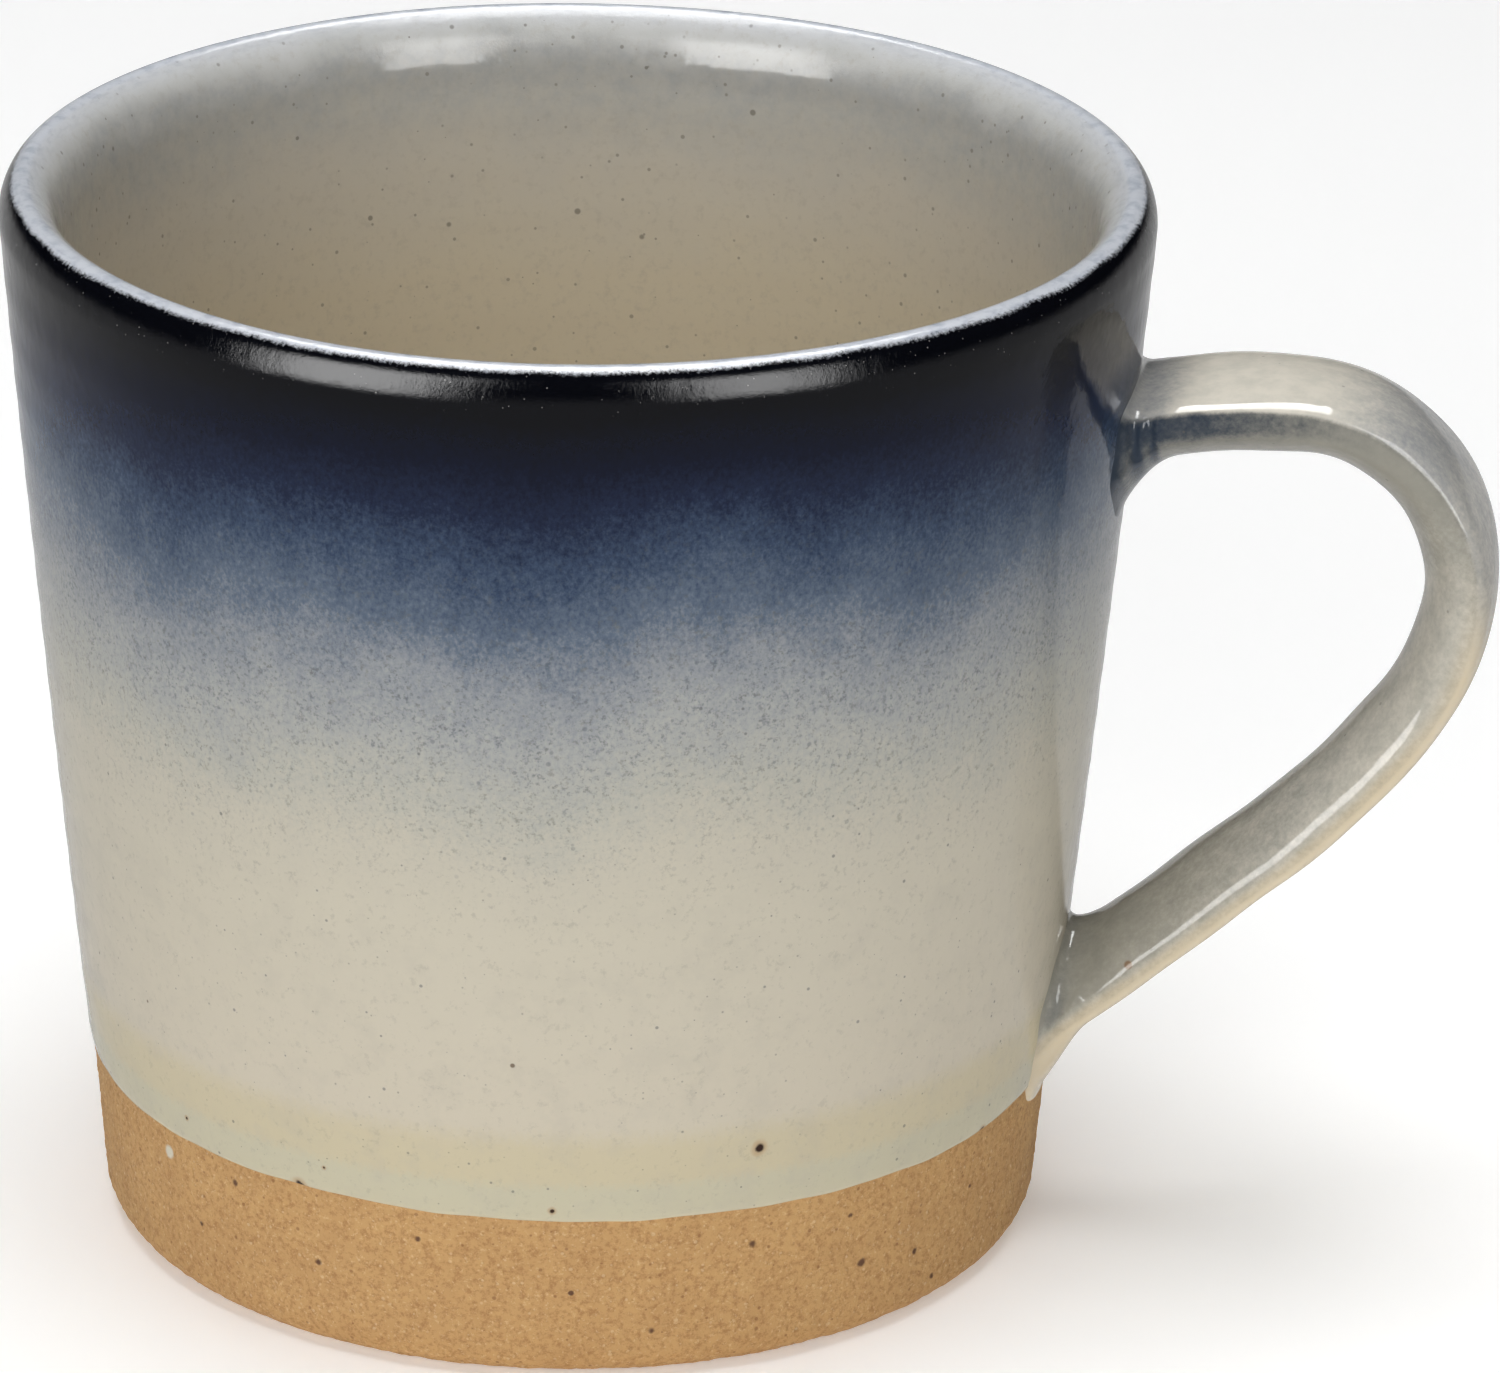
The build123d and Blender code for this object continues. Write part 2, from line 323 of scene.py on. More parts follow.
def cap_faces(ring, pole, sectors, upwards):
    """Triangles from one ring of points to a single point."""
    sector = np.arange(sectors)
    beside = (sector + 1) % sectors
    fan = np.stack([ring * sectors + sector, ring * sectors + beside, np.full(sectors, pole)], -1)
    return fan if upwards else fan[:, ::-1]


def turned_points(radius, height, angle):
    """Points from radius and height tables of one row per ring, one column per angle."""
    return np.stack([radius * np.cos(angle), radius * np.sin(angle), height], -1)


def sector_angles(sectors):
    """Evenly spaced angles round the axis, as one row."""
    return np.arange(sectors)[None, :] * (2 * math.pi / sectors)


def spread_picks(count, wanted):
    """About this many indices spread evenly over a list of this count."""
    return np.unique(np.linspace(0, count - 1, wanted).astype(int))


def offset_profile(radius, height, distance):
    """The same profile moved sideways, to the left of its direction of travel."""
    along = np.stack([np.gradient(radius), np.gradient(height)])
    along /= np.hypot(*along)
    return radius - along[1] * distance, height + along[0] * distance


# ======== cup glaze ========


def run_depth(angle):
    """How far down the dark glaze ran at each angle."""
    azimuth = np.degrees(angle) - FRONT
    depth = waves(angle, *RUN_WAVES) - RUN_MIDDLE
    for centre, half_width, drop in RUNS:
        off = (azimuth - centre + 180) % 360 - 180
        depth += drop * bump_at(off, 0, half_width)
    return depth


def glaze_level(angle, height):
    """Height as the glaze's colours take it: raised where the dark glaze ran down."""
    reach = smooth(*RUNS_START, height) * (1 - RUNS_LOST_AT_RIM * smooth(*RUNS_WEAKEN, height))
    return height + run_depth(angle) * reach


def glaze_line(angle):
    """Height of the pale coat's lower edge at each angle."""
    return LINE_HEIGHT + waves(angle, *LINE_WAVES)


def cup_wobble(angle, height):
    """Sideways unevenness of the wall at this angle and height."""
    share = np.clip(height / HEIGHT, 0, 1)
    slow = waves(angle, *WOBBLE_WAVES) * (WOBBLE_AT_FOOT + (1 - WOBBLE_AT_FOOT) * share)
    turn = height * (2 * math.pi / THROWING_PITCH) + angle
    return slow + THROWING_DEPTH * np.sin(turn) * smooth(LINE_HEIGHT, THROWING_START, height)


def glaze_shell(name, radius, height, under, fields):
    """A closed coat of glaze: its outer face ring by ring, then its hidden face back again."""
    top = turned_points(radius, height, angles)
    hidden = turned_points(*under, angles)
    points = np.concatenate([top, hidden]).reshape(-1, 3)
    rings = len(top) + len(hidden)
    blank = np.zeros(hidden.shape[:2])
    spread = {field: np.concatenate([values, blank]) for field, values in fields.items()}
    quads = band_faces(rings, CUP_SECTORS, True)
    return make_piece(name, points, quads, np.zeros((0, 3), int), spread)


def lift(radius, height, angle):
    """Adds the slow unevenness to a turned surface, and the rise and fall of the rim."""
    rise = waves(angle, *RIM_WAVES)
    return radius + cup_wobble(angle, height), height + rise * smooth(RIM_WAVE_START, HEIGHT, height)


angles = sector_angles(CUP_SECTORS)


def pale_outer_coat():
    """The pale coat on the outside wall, with its rolled lower edge."""
    line = glaze_line(angles)
    share = np.linspace(0, 1, int((SPLIT_HEIGHT - LINE_HEIGHT) / CUP_STEP))[:, None]
    body_z = np.maximum(line + (SPLIT_HEIGHT - line) * share, line + EDGE_ROLL)
    edge_turn = np.radians(np.linspace(-90, 0, EDGE_STEPS))[:-1, None]
    edge_radius = wall_radius(line) - EDGE_ROLL + EDGE_ROLL * np.cos(edge_turn)
    edge_z = line + EDGE_ROLL + EDGE_ROLL * np.sin(edge_turn)
    radius = np.concatenate([edge_radius, wall_radius(body_z)])
    height = np.concatenate([edge_z, body_z + np.linspace(0, RING_SPREAD, len(body_z))[:, None]])
    bead = BEAD_SIZE * bump_at(height - line, BEAD_HEIGHT, BEAD_WIDTH)
    bead *= smooth(0.0, EDGE_ROLL, height - line)
    radius, height = lift(radius + bead, height, angles)
    under_z = line + (SPLIT_HEIGHT - line) * np.linspace(1, 0, UNDER_RINGS)[:, None]
    under = lift(wall_radius(under_z) - GLAZE, under_z, angles)
    fields = {"level": glaze_level(angles, height), "lip": 0 * height}
    return glaze_shell("pale_outer_glaze", radius, height, under, fields)


def dark_rim_coat():
    """The dark coat from the middle of the wall up, over the lip and a little way down inside."""
    outside = np.arange(SPLIT_HEIGHT, SHOULDER_HEIGHT - CUP_STEP / 2, CUP_STEP)
    turn = np.radians(np.linspace(0, 90, LIP_STEPS))
    lip_centre = RIM_RADIUS - LIP_RADIUS
    crown_turn = np.radians(np.linspace(0, CROWN_TURN, CROWN_STEPS))[1:-1]
    crown = (lip_centre - inner_radius(HEIGHT - CROWN_DROP)) / math.sin(math.radians(CROWN_TURN))
    inside_top = HEIGHT - crown * (1 - math.cos(math.radians(CROWN_TURN)))
    inside = inside_top + (LINER_TOP - inside_top) * np.linspace(0, 1, LIP_STEPS) ** LIP_SPACING
    lean = np.degrees(np.arctan(np.gradient(inner_radius(inside), inside)))
    # radii, heights, and degrees round the lip from its outer side
    runs = [
        (wall_radius(outside), outside, 0 * outside),
        (lip_centre + LIP_RADIUS * np.cos(turn), SHOULDER_HEIGHT + SHOULDER_RISE * np.sin(turn),
         np.degrees(turn)),
        (lip_centre - crown * np.sin(crown_turn), HEIGHT - crown * (1 - np.cos(crown_turn)),
         90 + np.degrees(crown_turn)),
        (inner_radius(inside), inside, 180 - lean),
    ]
    profile_r, profile_z, around_lip = np.concatenate(runs, 1)
    radius, height = lift(profile_r[:, None], profile_z[:, None], angles)
    under_r, under_z = offset_profile(profile_r, profile_z, GLAZE)
    pick = spread_picks(len(profile_r), UNDER_RINGS * 3)[::-1]
    under = lift(under_r[pick, None], under_z[pick, None], angles)
    fields = {
        "level": glaze_level(angles, height),
        "lip": around_lip[:, None] + 0 * angles,
        "depth": np.where(around_lip[:, None] > 90, HEIGHT - height, 0),
    }
    return glaze_shell("dark_rim_glaze", radius, height, under, fields)


def bowl_profile(top, step):
    """Radius and height down the inside of the cup, from a height on the wall to the axis."""
    wall = np.arange(top, FLOOR_HEIGHT + INNER_CORNER * WALL_STOP, -step)
    lean = math.atan(INNER_SLOPE)
    centre_z = FLOOR_HEIGHT + INNER_CORNER
    centre_r = inner_radius(centre_z) - INNER_CORNER / math.cos(lean)
    turn = np.linspace(lean, math.pi / 2, CORNER_STEPS)
    corner_r = centre_r + INNER_CORNER * np.cos(turn)
    corner_z = centre_z - INNER_CORNER * np.sin(turn)
    floor_r = np.linspace(corner_r[-1], AXIS_HOLE, FLOOR_STEPS)[1:]
    runs = [(inner_radius(wall), wall), (corner_r, corner_z), (floor_r, 0 * floor_r + FLOOR_HEIGHT)]
    return np.concatenate(runs, 1)


def capped_piece(name, rows, fields=()):
    """A closed piece from rings of points, in order, with a point in the middle of each end."""
    rings, sectors = rows.shape[:2]
    poles = np.stack([rows[0].mean(0), rows[-1].mean(0)])
    points = np.concatenate([rows.reshape(-1, 3), poles])
    quads = band_faces(rings, sectors, False)
    caps = np.concatenate([
        cap_faces(0, rings * sectors, sectors, False),
        cap_faces(rings - 1, rings * sectors + 1, sectors, True),
    ])
    spread = {field: np.concatenate([values.ravel(), [values[0, 0], values[-1, 0]]])
              for field, values in dict(fields).items()}
    return make_piece(name, points, quads, caps, spread)


def bowl_piece(name, top_profile, under_profile, sectors, depth_of, texture):
    """A closed turned piece with both its faces ending on the axis, and its depth field."""
    angle = sector_angles(sectors)
    radius = np.concatenate([under_profile[0][::-1], top_profile[0]])[:, None]
    height = np.concatenate([under_profile[1][::-1], top_profile[1]])[:, None]
    radius, height = texture(radius, height, angle)
    return capped_piece(name, turned_points(radius, height, angle), {"depth": depth_of(height)})


def liner_coat():
    """The coat of glaze inside the cup."""
    top = bowl_profile(LINER_TOP, LINER_STEP)
    under_r, under_z = offset_profile(*top, GLAZE)
    keep = spread_picks(len(under_r), LINER_UNDER_RINGS)
    under = (np.maximum(under_r[keep], AXIS_HOLE), under_z[keep])
    return bowl_piece("liner_glaze_coat", top, under, CUP_SECTORS, lambda z: HEIGHT - z, lift)


# ======== clay ========


def clay_relief(rings, sectors):
    """Sandy unevenness: fine grain, soft lumps and a few pits."""
    grain = chance.normal(0, 1, (rings, sectors))
    neighbours = [(i, j) for i in (-1, 0, 1) for j in (-1, 0, 1)]
    lumps = sum(np.roll(grain, shift, (0, 1)) for shift in neighbours) / math.sqrt(len(neighbours))
    wide = chance.normal(0, 1, (rings // PATCH_CELLS + 2, sectors // PATCH_CELLS))
    wide = np.repeat(np.repeat(wide, PATCH_CELLS, 0)[:rings], PATCH_CELLS, 1)[:, :sectors]
    blur = [(0, 0), (2, 0), (-2, 0), (0, 2), (0, -2)]
    for _ in range(PATCH_BLURS):
        wide = sum(np.roll(wide, shift, (0, 1)) for shift in blur) / len(blur)
    pits = (chance.random((rings, sectors)) < PIT_SHARE) * chance.random((rings, sectors))
    rough = sum(share * part for share, part in zip(GRAIN_SHARES, (grain, lumps, wide)))
    return GRAIN * rough - PIT_DEPTH * pits


def clay_profile():
    """The number of bare rings, and the clay's radii and heights from its well round to its inside."""
    runs = [(np.linspace(*radii, rings), np.linspace(*heights, rings))
            for radii, heights, rings in FOOT_RUNS]
    edge_turn = np.radians(np.linspace(0, 90, FOOT_EDGE_STEPS))[1:]
    edge_radius = BAND_FOOT_RADIUS - FOOT_EDGE + FOOT_EDGE * np.sin(edge_turn)
    runs.append((edge_radius, FOOT_EDGE - FOOT_EDGE * np.cos(edge_turn)))
    band_z = np.linspace(FOOT_EDGE, LINE_HEIGHT + BAND_OVERLAP, BAND_RINGS)[1:]
    band_share = (band_z - FOOT_EDGE) / (LINE_HEIGHT - FOOT_EDGE)
    band_radius = BAND_FOOT_RADIUS + (LINE_RADIUS - GLAZE - BAND_FOOT_RADIUS) * band_share
    runs.append((band_radius, band_z))
    bare_rings = sum(len(radii) for radii, heights in runs)
    # from here on the clay is hidden, and stays clear of the glaze
    clear = GLAZE + CLAY_SINK + CLAY_CLEAR
    wall_z = np.linspace(LINE_HEIGHT + 6, LIP_HEIGHT - 1, CLAY_WALL_RINGS)
    runs.append((wall_radius(wall_z) - clear, wall_z))
    lip_turn = np.radians(np.linspace(*CLAY_LIP_TURN, CLAY_LIP_RINGS))
    lip_round = LIP_RADIUS - CLAY_LIP_SHRINK
    lip_radius = RIM_RADIUS - LIP_RADIUS + lip_round * np.cos(lip_turn)
    runs.append((lip_radius, LIP_HEIGHT + lip_round * np.sin(lip_turn)))
    bowl = np.stack(offset_profile(*bowl_profile(LIP_HEIGHT - 2, CLAY_BOWL_STEP), clear))
    runs.append(bowl[:, spread_picks(bowl.shape[1], CLAY_BOWL_RINGS)])
    return bare_rings, np.concatenate(runs, 1)


def clay_cup():
    """The stoneware cup. Its foot is bare, and the rest is buried under the glaze."""
    bare_rings, rows = clay_profile()
    angle = sector_angles(CLAY_SECTORS)
    relief = np.zeros((rows.shape[1], CLAY_SECTORS))
    relief[:bare_rings] = clay_relief(bare_rings, CLAY_SECTORS)
    relief[rows[1] < TABLE_TOUCH] *= TABLE_RELIEF
    slope = np.gradient(rows, axis=1)
    slope_r, slope_z = (slope / np.hypot(*slope))[..., None]
    height = np.maximum(rows[1][:, None] - relief * slope_r, 0.0)
    radius = rows[0][:, None] + relief * slope_z + cup_wobble(angle, height)
    return capped_piece("bare_clay_cup", turned_points(radius, height, angle))


def foot_well_coat():
    """The glaze brushed into the well under the foot, with an uneven edge."""
    radii = np.concatenate([np.linspace(*rings) for rings in WELL_COAT_RINGS])[::-1]
    over_edge = ((radii - WELL_COAT_RADIUS) / WELL_COAT_EDGE + 1).clip(0, 1)
    fall = (GLAZE - WELL_COAT_SKIN) * np.sqrt(1 - over_edge**2)
    face = (radii, WELL_DEPTH - WELL_COAT_SKIN - fall)
    back = (np.linspace(WELL_COAT_RADIUS, AXIS_HOLE, 3), np.full(3, WELL_DEPTH + CLAY_SINK))

    def brushed(radius, height, angle):
        """Moves the coat's edge in and out."""
        ripple = waves(angle, *BRUSH_WAVES)
        reach = smooth(WELL_BRUSHED_FROM, WELL_COAT_RADIUS, radius)
        return radius + (ripple - WELL_BRUSHED_IN) * reach, height + 0 * angle

    return bowl_piece("foot_well_coat", face, back, WELL_COAT_SECTORS,
                      lambda z: np.full_like(z, WELL_TONE_DEPTH), brushed)


# ======== handle ========


def handle_path():
    """Distance, radius, height and heading down the handle's centreline, in small steps."""
    step = PATH_STEP
    heading = [math.radians(HANDLE_START_ANGLE)] * (1 + int(HANDLE_ROOT_RUN / step))
    for radius, turn in HANDLE_BENDS:
        count = int(radius * math.radians(turn) / step)
        heading += list(heading[-1] - np.arange(1, count + 1) * math.radians(turn) / count)
    heading += [heading[-1]] * int(HANDLE_TAIL_RUN / step)
    heading = np.array(heading)
    x, z = [start - HANDLE_ROOT_RUN * part[0] + np.concatenate([[0], np.cumsum(part[:-1] * step)])
            for start, part in zip(HANDLE_START, (np.cos(heading), np.sin(heading)))]
    return np.arange(len(heading)) * step, x, z, heading


def strap_outline(half_width, arch, rounding):
    """The strap's rounded D-shaped section: across it, and outwards from the centreline."""
    across = np.linspace(-1, 1, OUTLINE_FACE_POINTS)
    crown = STRAP_SIDE_TOP + STRAP_CROWN * (1 - across**2)
    side = np.linspace(STRAP_SIDE_TOP, STRAP_SIDE_BOTTOM, OUTLINE_SIDE_POINTS)[1:-1]
    belly = STRAP_SIDE_BOTTOM - arch * (1 - across**2)
    outline = np.concatenate([
        (across * half_width, crown),
        (0 * side + half_width, side),
        (-across * half_width, belly),
        (0 * side - half_width, side[::-1]),
    ], 1).T
    outline = even_loop(outline, OUTLINE_POINTS)
    spacing = np.hypot(*(np.roll(outline, -1, 0) - outline).T).sum() / OUTLINE_POINTS
    reach = int(3 * rounding / spacing)
    offsets = np.arange(-reach, reach + 1)
    weights = bump_at(offsets * spacing, 0, rounding * math.sqrt(2))
    rounded = sum(w * np.roll(outline, -o, 0) for w, o in zip(weights, offsets)) / weights.sum()
    return even_loop(rounded, STRAP_POINTS)


def even_loop(outline, count):
    """The same closed outline with this many points evenly along it."""
    closed = np.concatenate([outline, outline[:1]])
    along = np.concatenate([[0], np.cumsum(np.hypot(*np.diff(closed, axis=0).T))])
    wanted = np.linspace(0, along[-1], count, endpoint=False)
    return np.stack([np.interp(wanted, along, closed[:, k]) for k in (0, 1)], 1)


def wall_gap(points):
    """How far outside the wall each point is."""
    return np.hypot(points[..., 0], points[..., 1]) - wall_radius(points[..., 2])


def unit(vectors):
    """The same directions, one long."""
    return vectors / np.linalg.norm(vectors, axis=-1, keepdims=True)


def plain_strap():
    """The strap from wall to wall: ring shares, points, normals, and normals within the section."""
    distance, *path = handle_path()
    total = distance[-1]
    stations = zip(STRAP_HALF_WIDTHS, STRAP_ARCHES, STRAP_ROUNDINGS)
    outlines = np.stack([strap_outline(*station) for station in stations])

    def place(s):
        """Points and normals at these distances down the strap, a column per point of the outline."""
        x, z, heading = [np.interp(s, distance, values) for values in path]
        t = np.clip((s - HANDLE_ROOT_RUN) / (total - HANDLE_ROOT_RUN - HANDLE_TAIL_RUN / 2), 0, 1)
        weights = np.stack([2 * (t - 0.5) * (t - 1), 4 * t * (1 - t), 2 * t * (t - 0.5)])
        section = np.einsum("krj,kjc->rjc", weights, outlines)
        turn = unit(np.roll(section, -1, 1) - np.roll(section, 1, 1))
        flat = np.stack([-turn[..., 1], turn[..., 0]], -1)
        out_x, out_z = -np.sin(heading), np.cos(heading)
        points = np.stack([x + section[..., 1] * out_x, section[..., 0], z + section[..., 1] * out_z], -1)
        normals = np.stack([flat[..., 1] * out_x, flat[..., 0], flat[..., 1] * out_z], -1)
        return points, normals, flat

    def crossing(low, high, rising):
        """Where each line of the strap is buried in the wall, by halving."""
        low = np.full((1, STRAP_POINTS), low)
        high = np.full((1, STRAP_POINTS), high)
        for _ in range(HALVINGS):
            middle = (low + high) / 2
            outside = wall_gap(place(middle)[0]) > -BURIED
            take_high = outside if rising else ~outside
            high = np.where(take_high, middle, high)
            low = np.where(take_high, low, middle)
        return (low + high) / 2

    start = crossing(0.0, HANDLE_ROOT_RUN + ROOT_SEARCH, True)
    end = crossing(total - HANDLE_TAIL_RUN - TAIL_SEARCH, total, False)
    share = np.linspace(0, 1, STRAP_RINGS)[:, None]
    share = share - STRAP_END_PULL * np.sin(2 * math.pi * share) / (2 * math.pi)
    points, normals, flat = place(start + (end - start) * share)
    middle = points.mean(1, keepdims=True)
    outward = np.sign(np.einsum("rjc,rjc->rj", points - middle, normals).sum())
    return share, points, normals * outward, flat * outward


def flare(share, clear, points, normals, flat):
    """The strap's points moved so that both its ends round into the wall."""
    azimuth = np.arctan2(points[..., 1], points[..., 0])
    lean = np.arctan2(RIM_RADIUS - LINE_RADIUS, LIP_HEIGHT - LINE_HEIGHT)
    wall_normal = np.stack([np.cos(azimuth) * np.cos(lean), np.sin(azimuth) * np.cos(lean),
                            np.full_like(azimuth, -np.sin(lean))], -1)
    off_wall = np.einsum("rjc,rjc->rj", normals, wall_normal)[..., None]
    along_wall = unit(normals - off_wall * wall_normal)
    faces = (np.clip(flat[..., 1], 0, 1) ** 2, flat[..., 0] ** 2, np.clip(-flat[..., 1], 0, 1) ** 2)
    upper, lower = [sum(size * face for size, face in zip(sizes, faces))
                    for sizes in (UPPER_FLARES, LOWER_FLARES)]
    size = np.where(share < 0.5, upper, lower)
    near = np.clip(1 - np.clip(clear, 0, None) / size, 0, 1)
    blend = near[..., None] ** 2
    direction = unit(normals * (1 - blend) + along_wall * blend)
    return points + (size * (1 - np.sqrt(1 - near**2)))[..., None] * direction


def glazed_handle():
    """The glazed strap, flared into the wall, with the marks of its making."""
    share, points, normals, flat = plain_strap()
    clear = wall_gap(points)
    facing_out = flat[..., 1]
    upper_half = share < 0.5
    points = flare(share, clear, points, normals, flat)
    # wrinkles of thick glaze round the upper joint, on the sides and underneath
    window = smooth(0.0, 0.6, clear) * (1 - smooth(RIPPLE_REACH - RIPPLE_FADE, RIPPLE_REACH, clear))
    window *= upper_half * smooth(*RIPPLE_SIDES[0], facing_out)
    window *= 1 - smooth(*RIPPLE_SIDES[1], facing_out)
    ripple = RIPPLE_SIZE * np.sin(2 * math.pi * clear / RIPPLE_PITCH + RIPPLE_SLANT * facing_out)
    # a groove beside the lower joint
    groove = bump_at(clear, *GROOVE_AT) - RIDGE_SHARE * bump_at(clear, *RIDGE_AT)
    groove *= GROOVE_DEPTH * ~upper_half * bump_at(facing_out, *GROOVE_SIDE)
    # slow unevenness left by the potter's fingers
    lap = np.linspace(0, 2 * math.pi, STRAP_POINTS, endpoint=False)[None, :]
    hand = sum(depth * np.sin(share * along + laps * lap) for depth, along, laps in FINGER_MARKS)
    relief = ripple * window - groove + hand * smooth(1, 4, clear)
    points += relief[..., None] * normals
    return capped_piece("glazed_handle", points, handle_tones(share, clear, facing_out))


def handle_tones(share, clear, outer):
    """How navy, mossy, blue-grey and amber the glaze is over the handle, each from 0 to 1; the mossy tone
    also carries painted shade on the strap's sides and inner faces.

    share runs from the upper joint to the lower, clear is the distance from the wall, and outer is
    1 on the handle's outer face and -1 on its inner face.
    """
    upper = 1 - smooth(0.45, 0.55, share)
    pool = (1 - smooth(2.0, 4.2, clear)) * upper * (1 - smooth(0.2, 0.75, outer))
    ridges = 0.75 + 0.25 * np.cos(2 * math.pi * clear / RIPPLE_PITCH)
    below = 1 - smooth(0.2, 0.62, outer - 0.25 * (1 - smooth(0.05, 0.2, share)))
    run = (1 - smooth(0.02, 0.32, share)) * below * (1 - 0.6 * smooth(0.1, 0.8, -outer))
    navy = np.maximum(pool * ridges, 0.85 * run)
    # moss tone: greenish-grey glaze under the upper strap, plus painted shade that darkens the sides and
    # inner faces all along the strap
    moss_and_painted_shade = np.maximum(1 - smooth(0.22, 0.6, share), 0.4) * below
    # and darker on the lower strap's inner faces near the wall
    moss_and_painted_shade += 0.45 * (1 - upper) * (1 - smooth(3.0, 22.0, clear)) * (1 - smooth(-0.5, 0.0, outer))
    blue = 0.7 * bump_at(share, 0.25, 0.07) + 0.5 * bump_at(share, 0.37, 0.07)
    blue = blue * smooth(-0.1, 0.5, outer)
    blue += 0.7 * (1 - smooth(1.0, 6.0, clear)) * upper * smooth(0.2, 0.7, outer)
    blue += 0.25 * bump_at(share, 0.72, 0.1) * smooth(-0.3, 0.6, -outer) + 0.8 * pool
    blue += 0.8 * bump_at(clear, 0.9, 0.7) * (1 - upper) * bump_at(outer, -0.6, 0.35)
    amber = 0.8 * bump_at(share, 0.48, 0.1) * smooth(-0.7, 0.5, outer)
    amber += 0.8 * smooth(0.5, 0.6, share) * smooth(-0.5, 0.2, outer)
    tones = {"navy": navy, "moss_and_painted_shade": moss_and_painted_shade, "blue": blue, "amber": amber}
    return {name: np.clip(tone, 0, 1) for name, tone in tones.items()}


# ======== materials ========


def srgb(*channels):
    """A colour given as it looks on screen, 0 to 255, as the linear colour a shader takes."""
    parts = [channel / 255 for channel in channels]
    linear = [p / 12.92 if p <= 0.04045 else ((p + 0.055) / 1.055) ** 2.4 for p in parts]
    return (*linear, 1.0)


GLAZE_IOR = 1.45
GLAZE_SHINE = 0.25
FLOOR_IOR = 1.5
FLOOR_SHINE = 0.1
SMALLEST_SPECK = 0.35  # radius of the smallest speck, over the radius asked for
SPECK_CORE = 0.55  # a speck is solid out to this share of its radius


